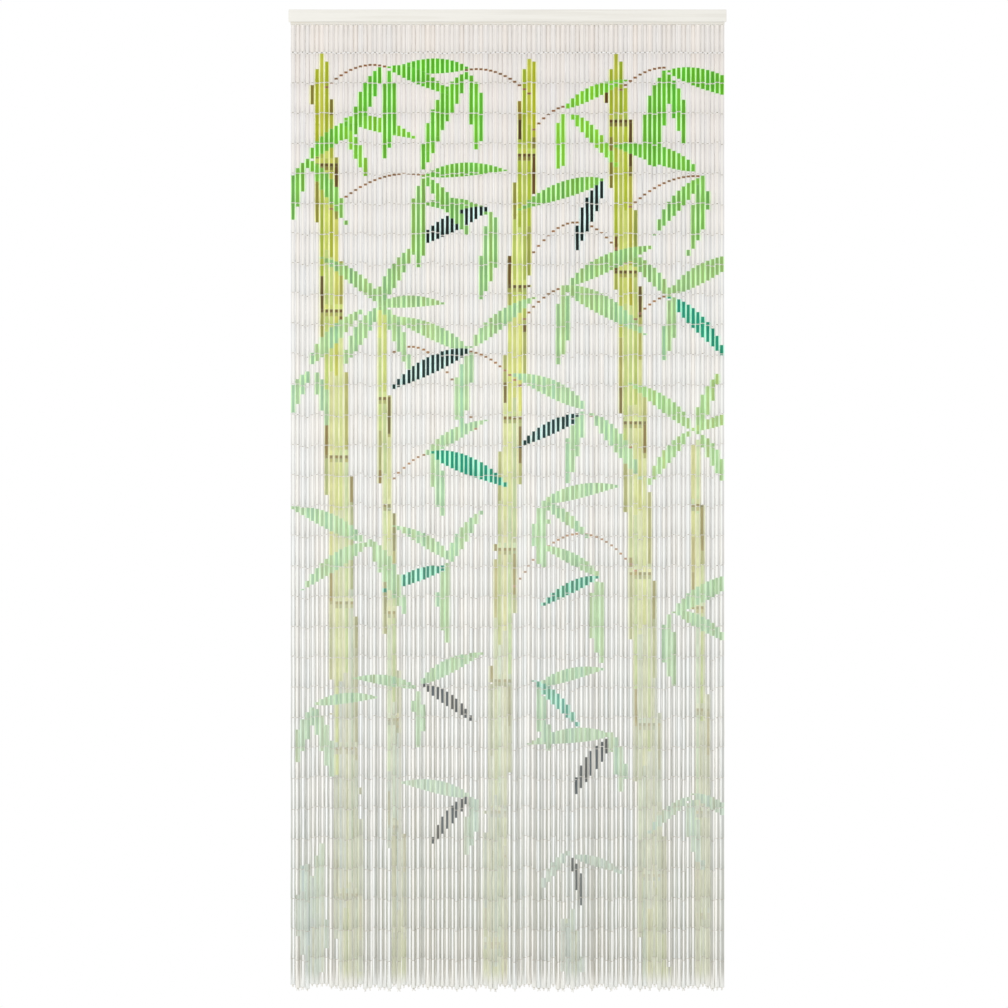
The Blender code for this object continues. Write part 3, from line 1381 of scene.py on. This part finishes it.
@dataclass
class StrandLine:
    """The line that one strand hangs in, with the bends of the solids, a little calmer.

    Attributes:
        index: The strand's number, from the left.
        middle: The field's middle along Y.
        foot: The height of the lath's underside.
    """

    index: int
    middle: float
    foot: float

    COUNT = 90
    PITCH = 0.00991
    STAGGER = 0.0012
    ROOT_SPREAD = 0.0003
    SIDE_SPREAD = 0.0002
    LINK_ROWS = 32
    FIRST_LINK = 0.058
    LINK_PITCH = 0.0621
    ROWS_A_BEND = 4
    SWAY_SIDEWAYS = 0.00013
    SWAY_IN_DEPTH = 0.0004
    END_SPREAD = 0.006
    SEED = 90

    def __post_init__(self) -> None:
        """Works out the strand's bends."""
        chance = random.Random(self.SEED + self.index)
        x = (self.index - (self.COUNT - 1) / 2) * self.PITCH
        y = self.middle + (self.STAGGER if self.index % 2 else -self.STAGGER)
        self.bends = [Vector((x, y + chance.uniform(-self.ROOT_SPREAD, self.ROOT_SPREAD), self.foot))]
        chance.uniform(-self.SIDE_SPREAD, self.SIDE_SPREAD)
        for row in range(self.ROWS_A_BEND, self.LINK_ROWS + 1, self.ROWS_A_BEND):
            bend_x = x + chance.uniform(-self.SWAY_SIDEWAYS, self.SWAY_SIDEWAYS)
            bend_y = y + chance.uniform(-self.SWAY_IN_DEPTH, self.SWAY_IN_DEPTH)
            chance.uniform(-self.SIDE_SPREAD, self.SIDE_SPREAD)
            depth = self.link_depth(row)
            if row == self.LINK_ROWS:
                depth += chance.uniform(-self.END_SPREAD, self.END_SPREAD)
            self.bends.append(Vector((bend_x, bend_y, self.foot - depth)))
        self.plumb = x

    @classmethod
    def link_depth(cls, row: int) -> float:
        """Gives how far below the lath a row of links lies, with rows counted from 1."""
        return cls.FIRST_LINK + (row - 1) * cls.LINK_PITCH

    @property
    def end(self) -> float:
        """The height of the strand's lower end."""
        return self.bends[-1].z

    def at(self, height: float) -> Vector:
        """Gives the strand's point at a height."""
        for above, below in zip(self.bends, self.bends[1:]):
            if height >= below.z:
                return above.lerp(below, (above.z - height) / (above.z - below.z))
        return self.bends[-1].copy()


@dataclass
class Tube:
    """One bamboo tube of a strand, from its top to its bottom."""

    top: Vector
    bottom: Vector
    width: float


@dataclass(frozen=True)
class TubeShapes:
    """The tubes that are copied: a plain one, a bowed and tapering one, and one with a joint.

    Attributes:
        length: Their length.
        width: Their width.
        bore_depth: How deep the hollow in a cut end is.
        bore: The hollow's radius, as a share of the tube's, and how far its rim dips.
        wall: How far out the flat of the cut reaches, as a share.
        chamfer: How far the tube's edge lies behind the cut.
        taper: How wide the tapering tube's lower and upper ends are.
        bow: How far its middle stands aside.
        joint: How far above the middle a joint lies, as a share of the half length.
        swelling: The joint's rings, each with its width as a share and its height over the joint.
    """

    length: float = 0.058
    width: float = 0.0098
    bore_depth: float = 0.004
    bore: Range = (0.40, 0.0002)
    wall: float = 0.88
    chamfer: float = 0.0005
    taper: Range = (1.02, 0.97)
    bow: float = 0.0003
    joint: float = 0.3
    swelling: Levels = ((1.0, -0.003), (1.07, 0.0), (0.96, 0.0012), (1.0, 0.004))

    SIDES = 10

    def box(self) -> bpy.types.Collection:
        """Makes the three tubes."""
        radius, joint = self.width / 2, self.length / 2 * self.joint
        swelling = [Ring(radius * wide, joint + rise) for wide, rise in self.swelling]
        rings = (self._whole([]), self._whole([Ring(radius, 0.0)], *self.taper), self._whole(swelling))
        names, bows = ("tube_1_plain", "tube_2_bowed", "tube_3_jointed"), (0.0, self.bow, 0.0)
        tubes = [turned(name, ring, self.SIDES, bow) for name, ring, bow in zip(names, rings, bows)]
        return shape_box("tube_shapes", tubes)

    def _whole(self, middle: list[Ring], lower: float = 1.0, upper: float = 1.0) -> list[Ring]:
        """Puts a cut end below and above some rings, each as wide as given."""
        return [*self._end(-1.0, lower), *middle, *self._end(1.0, upper)[::-1]]

    def _end(self, sign: float, wide: float) -> list[Ring]:
        """Gives the rings of a cut end, from the bore outwards."""
        half, radius = self.length / 2, self.width / 2
        return [
            Ring(0.0, sign * (half - self.bore_depth), 2.0),
            Ring(radius * self.bore[0], sign * (half - self.bore[1]), 1.2),
            Ring(radius * self.wall * wide, sign * half, 0.6),
            Ring(radius * wide, sign * (half - self.chamfer)),
        ]


@dataclass(frozen=True)
class WireShapes:
    """A pair of wire eyes, and the stem that holds a strand's first tube to the lath.

    Attributes:
        wire: The radius of the eyes' wire.
        eye: Half an eye's width and half its height.
        lift: How far an eye lies from the middle of the pair.
        shank: Where the straight wire behind an eye starts and ends.
        stem_wire: The radius of the stem.
        stem: Its upper and its lower end, from the lath's underside.
    """

    wire: float = 0.00042
    eye: Range = (0.0014, 0.0016)
    lift: float = 0.0006
    shank: Range = (0.0018, 0.0034)
    stem_wire: float = 0.00045
    stem: Range = (0.002, -0.0045)

    EYE_STEPS = 8
    EYE_SIDES, STEM_SIDES = 3, 6

    def box(self) -> bpy.types.Collection:
        """Makes both."""
        return shape_box("link_shapes", [self._eyes("link_1_eyes"), self._stem("link_2_stem")])

    def _eyes(self, name: str) -> bpy.types.Object:
        """Makes two wire eyes, one hooked through the other."""
        work = bmesh.new()
        wide, tall = self.eye
        turns = [2 * math.pi * (step + 0.5) / self.EYE_STEPS for step in range(self.EYE_STEPS)]
        for sign, across in ((1.0, Vector((1.0, 0.0, 0.0))), (-1.0, Vector((0.0, 1.0, 0.0)))):
            lift = sign * self.lift
            eye = [across * (wide * math.sin(t)) + UP * (tall * math.cos(t) + lift) for t in turns]
            swept(work, eye, self.wire, self.EYE_SIDES, True)
            swept(work, [UP * (sign * end) for end in self.shank], self.wire, self.EYE_SIDES, False)
        return closed_shape(name, work, False)

    def _stem(self, name: str) -> bpy.types.Object:
        """Makes the stem."""
        work = bmesh.new()
        swept(work, [UP * end for end in self.stem], self.stem_wire, self.STEM_SIDES, False)
        return closed_shape(name, work, False)


@dataclass(frozen=True)
class Knot:
    """The knot that holds a strand's last tube up, with two short cord ends.

    Attributes:
        tail: How far the ends may hang below the tube.
        coil: The radius of the knot's turns, where they start below the tube and how far they drop.
        turns: How many turns there are.
        cord: The cord's radius in the knot and at its ends.
        lean: The least and the most that an end leans aside.
        reach: The least and the most of the tail that an end takes up.
        root: Where the ends start below the tube.
        bend: How far along an end its bend is, and how far it stands forwards there.
    """

    tail: float
    coil: Scale = (0.0015, 0.0006, 0.0018)
    turns: float = 1.5
    cord: Range = (0.0010, 0.0011)
    lean: Range = (0.0014, 0.0032)
    reach: Range = (0.7, 0.98)
    root: float = 0.001
    bend: Range = (0.6, 0.0004)

    STEPS = 14
    SIDES = 5

    def shape(self, name: str, chance: random.Random) -> bpy.types.Object:
        """Makes the knot.

        Args:
            name: The object's name.
            chance: The source of its random draws.

        Returns:
            The object, which is in no collection yet.
        """
        work = bmesh.new()
        radius, start, drop = self.coil
        coil = []
        for step in range(self.STEPS + 1):
            turn = 2 * math.pi * self.turns * step / self.STEPS
            height = -start - drop * step / self.STEPS
            coil.append(Vector((radius * math.cos(turn), radius * math.sin(turn), height)))
        swept(work, coil, self.cord[0], self.SIDES, False)
        share, forwards = self.bend
        for sign in (-1.0, 1.0):
            lean = chance.uniform(*self.lean) * sign
            long = -self.tail * chance.uniform(*self.reach)
            bend = Vector((lean * share, forwards * sign, long * share))
            swept(work, [UP * -self.root, bend, Vector((lean, 0.0, long))], self.cord[1], self.SIDES, False)
        return closed_shape(name, work, True)


@dataclass
class Strands:
    """All the strands: tubes, the wire eyes between them and the knotted tails.

    Attributes:
        box: The box of the solid strands with their lath.
        panels: How many pieces the tubes are made in.
        strand_spread: How much a strand's width differs from the usual, as a share.
        tube_spread: How much a tube's width differs from its strand's.
        uneven: What is added to that for the tubes, the wires and the tails.
        root_gap: The gap between the lath and a strand's first tube.
        link_gap: The least and the greatest gap between two tubes.
        first_gap: How much wider the gap under the first tube is.
        foot_slack: What is left at the foot of the gaps and of the tubes' bare ends.
        tail: How far the tails hang below the last tubes.
        tail_widths: The least and the greatest width of a tail, as a share.
        wander: How much longer or shorter a tube may be.
        zigzag: How far a tube's end may lie beside its strand's line.
        twist: How far a strand's front has usually turned aside at the foot, as a sine.
        most_twist: The most that it has turned.
        twist_depth: How far down that is reached.
        twist_power: How late it comes.
        tube_twist: How much a tube differs from its strand in this.
        strand_cast: How much a strand's colour differs from the usual.
        tube_cast: How much a tube's colour differs from its strand's.
        warmth: How much of a cast goes into red and out of blue.
        seed: The start of the random draws.
        wire_seed: The start of those for the wires' turns.
        tail_seed: The start of those for the tails' turns.
        kinds: How often each of the three tubes is picked.
        bars: How many printed bars a tube can carry.
        bare_end: How much of a tube's end stays without print at the top of the curtain.
        thinnest: The thinnest bar that is kept.
    """

    box: Box
    panels: int = 9
    strand_spread: float = 0.010
    tube_spread: float = 0.014
    uneven: Scale = (0.01, 0.08, 0.1)
    root_gap: float = 0.0002
    link_gap: Range = (0.0005, 0.0012)
    first_gap: float = 0.0008
    foot_slack: float = 0.35
    tail: float = 0.006
    tail_widths: Range = (0.85, 1.1)
    wander: float = 0.0016
    zigzag: float = 0.0001
    twist: float = 0.38
    most_twist: float = 0.85
    twist_depth: float = 1.8
    twist_power: float = 1.3
    tube_twist: float = 0.05
    strand_cast: float = 0.016
    tube_cast: float = 0.016
    warmth: float = 0.7
    seed: int = 412
    wire_seed: int = 17
    tail_seed: int = 5
    kinds: tuple[int, int, int] = (6, 3, 1)
    bars: int = 6
    bare_end: float = 0.0006
    thinnest: float = 0.0012

    TUBE = TubeShapes()
    NO_BAR = Mark(9.0, 10.0, (1.0, 1.0, 1.0), (1.0, 1.0, 1.0))

    def build(self) -> None:
        """Builds every strand and hands the pieces over."""
        low, high = self.box
        middle, foot = (low.y + high.y) / 2, high.z - LATH_HEIGHT
        lines = [StrandLine(index, middle, foot) for index in range(StrandLine.COUNT)]
        tubes = self._tubes(lines)
        marks = Grove().marks([line.plumb for line in lines])
        setter = Setter("set copies on points")
        self._tube_panels(setter, tubes, marks)
        self._links(setter, lines, tubes)
        self._tails(setter, lines, tubes)

    def _tubes(self, lines: Sequence[StrandLine]) -> list[list[Tube]]:
        """Cuts each strand into tubes of slightly uneven length and width."""
        chance = random.Random(self.seed)
        strands = []
        rows = StrandLine.LINK_ROWS
        for line in lines:
            drift = [0.0]
            for _ in range(rows):
                drift.append(drift[-1] + chance.uniform(-self.wander, self.wander))
            wanted = line.foot - StrandLine.link_depth(rows) - line.end
            pull = (wanted - drift[-1]) / rows
            levels = [line.foot - self.root_gap]
            levels += [
                line.foot - StrandLine.link_depth(row) - drift[row] - pull * row for row in range(1, rows)
            ]
            levels.append(line.end + self.tail)
            girth = self.TUBE.width * (1.0 + chance.uniform(-self.strand_spread, self.strand_spread))
            strand = []
            for row, (upper, lower) in enumerate(zip(levels, levels[1:])):
                slack = between(1.0, self.foot_slack, row / rows)
                gaps = [chance.uniform(*self.link_gap) / 2 * slack for _ in range(2)]
                if row < 2:
                    gaps[1 - row] += self.first_gap / 2
                top, bottom = line.at(upper - gaps[0]), line.at(lower + gaps[1])
                top.z, bottom.z = upper - gaps[0], lower + gaps[1]
                for end in (top, bottom):
                    end.x += chance.uniform(-self.zigzag, self.zigzag)
                    end.y += chance.uniform(-self.zigzag, self.zigzag)
                width = girth * (1.0 + chance.uniform(-self.tube_spread, self.tube_spread))
                strand.append(Tube(top, bottom, width))
            strands.append(strand)
        return strands

    def _tube_panels(self, setter: Setter, tubes: list[list[Tube]], marks: list[list[Mark]]) -> None:
        """Sets the printed tubes, in panels of neighbouring strands."""
        chance = random.Random(self.seed + 1)
        shapes = self.TUBE.box()
        finish = TubePaint().material(self.bars)
        each = StrandLine.COUNT // self.panels
        for panel in range(self.panels):
            places = []
            for strand in range(panel * each, (panel + 1) * each):
                twist = max(-self.most_twist, min(self.most_twist, chance.gauss(0.0, self.twist)))
                cast = self._cast(self.strand_cast, chance)
                for tube in tubes[strand]:
                    places.append(self._tube_place(tube, marks[strand], twist, cast, chance))
            name = f"bamboo_tubes_{panel + 1}"
            piece = setter.mesh(name, places, shapes, finish, self.uneven[0], 2 * math.pi, panel)
            hand_over(piece, Slot.BAMBOO, STRAND_NODE)

    def _cast(self, spread: float, chance: random.Random) -> Colour:
        """Gives a slight cast of colour, as a factor for each of red, green and blue."""
        light, warm = chance.uniform(-spread, spread), chance.uniform(-spread, spread)
        return 1.0 + light + warm * self.warmth, 1.0 + light, 1.0 + light - warm * self.warmth

    def _tube_place(
        self, tube: Tube, marks: Sequence[Mark], twist: float, cast: Colour, chance: random.Random
    ) -> Place:
        """Gives a tube's place, with the bars that are printed on it.

        Args:
            tube: The tube.
            marks: The bars on its strand.
            twist: How far the strand has turned its front aside at its lower end.
            cast: The strand's cast of colour.
            chance: The source of the tube's own small differences.

        Returns:
            The place.
        """
        along = tube.top - tube.bottom
        bare = self.bare_end * between(1.0, self.foot_slack, tube.top.z / self.box[0].z)
        bars = self._bars(marks, tube.bottom.z + bare, tube.top.z - bare)
        kind = chance.choices((0, 1, 2), self.kinds)[0]
        cast = tuple(a * b for a, b in zip(cast, self._cast(self.tube_cast, chance)))
        turned_by = twist * min(1.0, -tube.top.z / self.twist_depth) ** self.twist_power
        facts = {
            "kind": kind,
            "cast": cast,
            "aside": turned_by + chance.uniform(-self.tube_twist, self.tube_twist),
            "shift": (chance.random(), chance.random(), chance.random()),
        }
        for number in range(self.bars):
            bar = bars[number] if number < len(bars) else self.NO_BAR
            facts[f"bar_{number}"] = (bar.low, bar.high, 0.0)
            facts[f"ink_{number}"] = bar.ink
            facts[f"halo_{number}"] = bar.halo
        stretch = (tube.width / self.TUBE.width, along.length / self.TUBE.length)
        return Place((tube.top + tube.bottom) / 2, along.normalized(), stretch, facts)

    def _bars(self, marks: Sequence[Mark], low: float, high: float) -> list[Mark]:
        """Gives the bars on a stretch of a strand, at most as many as a tube can carry.

        Args:
            marks: The bars on the strand.
            low: The stretch's lower end.
            high: Its upper end.

        Returns:
            The bars, from the lowest up. A bar too many or too thin gives way to one that it touches.
        """
        bars = [replace(mark, low=max(mark.low, low), high=min(mark.high, high)) for mark in marks]
        bars = sorted((bar for bar in bars if bar.high > bar.low), key=lambda bar: bar.low)
        while bars:
            gone = min(bars, key=lambda bar: bar.high - bar.low)
            if len(bars) <= self.bars and gone.high - gone.low > self.thinnest:
                break
            number = bars.index(gone)
            bars.remove(gone)
            if number > 0 and bars[number - 1].high == gone.low:
                bars[number - 1] = replace(bars[number - 1], high=gone.high)
            elif number < len(bars) and bars[number].low == gone.high:
                bars[number] = replace(bars[number], low=gone.low)
        return bars

    def _links(self, setter: Setter, lines: Sequence[StrandLine], tubes: list[list[Tube]]) -> None:
        """Sets a pair of wire eyes in each gap, and a stem between the lath and each first tube."""
        shapes, finish = WireShapes().box(), WireFinish().material()
        middle = StrandLine.COUNT // 2
        for side, half in (("left", range(middle)), ("right", range(middle, StrandLine.COUNT))):
            places = []
            for strand in half:
                root = lines[strand].at(lines[strand].foot)
                places.append(Place(root, UP, (1.0, 1.0), {"kind": 1}))
                for above, below in zip(tubes[strand], tubes[strand][1:]):
                    up = (above.bottom - below.top).normalized()
                    places.append(Place((above.bottom + below.top) / 2, up, (1.0, 1.0), {"kind": 0}))
            name = f"wire_links_{side}"
            piece = setter.mesh(name, places, shapes, finish, self.uneven[1], math.pi, self.wire_seed)
            hand_over(piece, Slot.WIRE, STRAND_NODE)

    def _tails(self, setter: Setter, lines: Sequence[StrandLine], tubes: list[list[Tube]]) -> None:
        """Sets a knot and a short tail under each strand's last tube."""
        chance = random.Random(self.seed + 2)
        knot = Knot(self.tail)
        shapes = shape_box("tail_shapes", [knot.shape(f"tail_{number}", chance) for number in range(3)])
        places = []
        for line, strand in zip(lines, tubes):
            foot = strand[-1].bottom
            stretch = (chance.uniform(*self.tail_widths), (foot.z - line.end) / self.tail)
            places.append(Place(foot.copy(), UP, stretch, {"kind": chance.randrange(3)}))
        name, finish = "knotted_tails", CordFinish().material()
        piece = setter.mesh(name, places, shapes, finish, self.uneven[2], 2 * math.pi, self.tail_seed)
        hand_over(piece, Slot.CORD, STRAND_NODE)


# Studio


@dataclass
class Studio:
    """The camera at the photograph's view, soft white light and a plain pale floor.

    Attributes:
        box: The box of the solids.
        picture: The photograph's width and height.
        rail_left: Where the rail's left end is in it.
        rail_right: Where its right end is.
        rail_top: Where its top is.
        distance: How far the camera stands away.
        sensor: The camera's sensor width in millimetres.
        drop: How far the floor lies below the strands.
        floor: Two corners of the floor.
        ambient: The strength of the surroundings as light.
        lamps: Each lamp's name, its place and its power.
        lamp_size: A lamp's width.
    """

    box: Box
    picture: int = 1008
    rail_left: float = 288.5
    rail_right: float = 726.5
    rail_top: float = 9.4
    distance: float = 30.0
    sensor: float = 36.0
    drop: float = 0.055
    floor: tuple[Point, Point] = ((-2.2, -2.4), (2.2, 0.5))
    ambient: float = 0.885
    lamps: tuple[tuple[str, Scale, float], ...] = (
        ("key", (-2.6, -4.2, 0.5), 53.0),
        ("fill", (3.2, -3.8, -0.7), 22.0),
    )
    lamp_size: float = 2.6

    def build(self) -> None:
        """Sets up the camera, the light and the floor."""
        self._camera()
        self._world()
        for lamp in self.lamps:
            self._lamp(*lamp)
        self._floor()

    def _camera(self) -> None:
        """Places the camera so that the rail spans the photograph's pixels."""
        low, high = self.box
        scale = (high.x - low.x) / (self.rail_right - self.rail_left)
        x = (low.x + high.x) / 2 + (self.picture / 2 - (self.rail_left + self.rail_right) / 2) * scale
        z = high.z - (self.picture / 2 - self.rail_top) * scale
        data = bpy.data.cameras.new("camera")
        data.sensor_width = self.sensor
        data.lens = self.sensor * self.distance / (self.picture * scale)
        data.clip_end = 200.0
        camera = shown(bpy.data.objects.new("camera", data))
        camera.location = (x, low.y - self.distance, z)
        camera.rotation_euler = (math.pi / 2, 0.0, 0.0)
        bpy.context.scene.camera = camera

    def _world(self) -> None:
        """Makes the surroundings: pure white to look at, and a softer white as light."""
        world = bpy.data.worlds.new("white room")
        world.use_nodes = True
        tree = Tree(world.node_tree)
        seen, light = (
            tree.node("ShaderNodeBackground", None, {"Color": (1.0, 1.0, 1.0), "Strength": strength})
            for strength in (1.0, self.ambient)
        )
        direct = tree.node("ShaderNodeLightPath").outputs["Is Camera Ray"]
        both = tree.node("ShaderNodeMixShader", None, {0: direct, 1: light.outputs[0], 2: seen.outputs[0]})
        tree.node("ShaderNodeOutputWorld", None, {"Surface": both.outputs[0]})
        bpy.context.scene.world = world
        bpy.context.scene.view_settings.view_transform = "Standard"

    def _lamp(self, name: str, place: Scale, power: float) -> None:
        """Hangs a large soft lamp that faces the curtain's middle."""
        data = bpy.data.lights.new(name, "AREA")
        data.size = self.lamp_size
        data.energy = power
        lamp = shown(bpy.data.objects.new(name, data))
        middle = (self.box[0] + self.box[1]) / 2
        lamp.location = Vector(place) + Vector((0.0, 0.0, middle.z))
        lamp.rotation_euler = (middle - lamp.location).to_track_quat("-Z", "Y").to_euler()

    def _floor(self) -> None:
        """Lays the floor just under the strands."""
        height = self.box[0].z - self.drop
        (left, near), (right, far) = self.floor
        work = bmesh.new()
        corners = ((left, near), (right, near), (right, far), (left, far))
        work.faces.new([work.verts.new((x, y, height)) for x, y in corners])
        floor = shown(finished("floor", work))
        floor.data.materials.append(FloorPaint().material())
        floor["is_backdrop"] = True


def main() -> None:
    """Dresses the curtain."""
    logging.basicConfig(level=logging.INFO, format="%(message)s")
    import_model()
    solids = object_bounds()
    Studio(solids).build()
    Rail(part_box(RAIL_NODE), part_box(STRAND_NODE)).build()
    Strands(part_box(STRAND_NODE)).build()


if __name__ == "__main__":
    main()
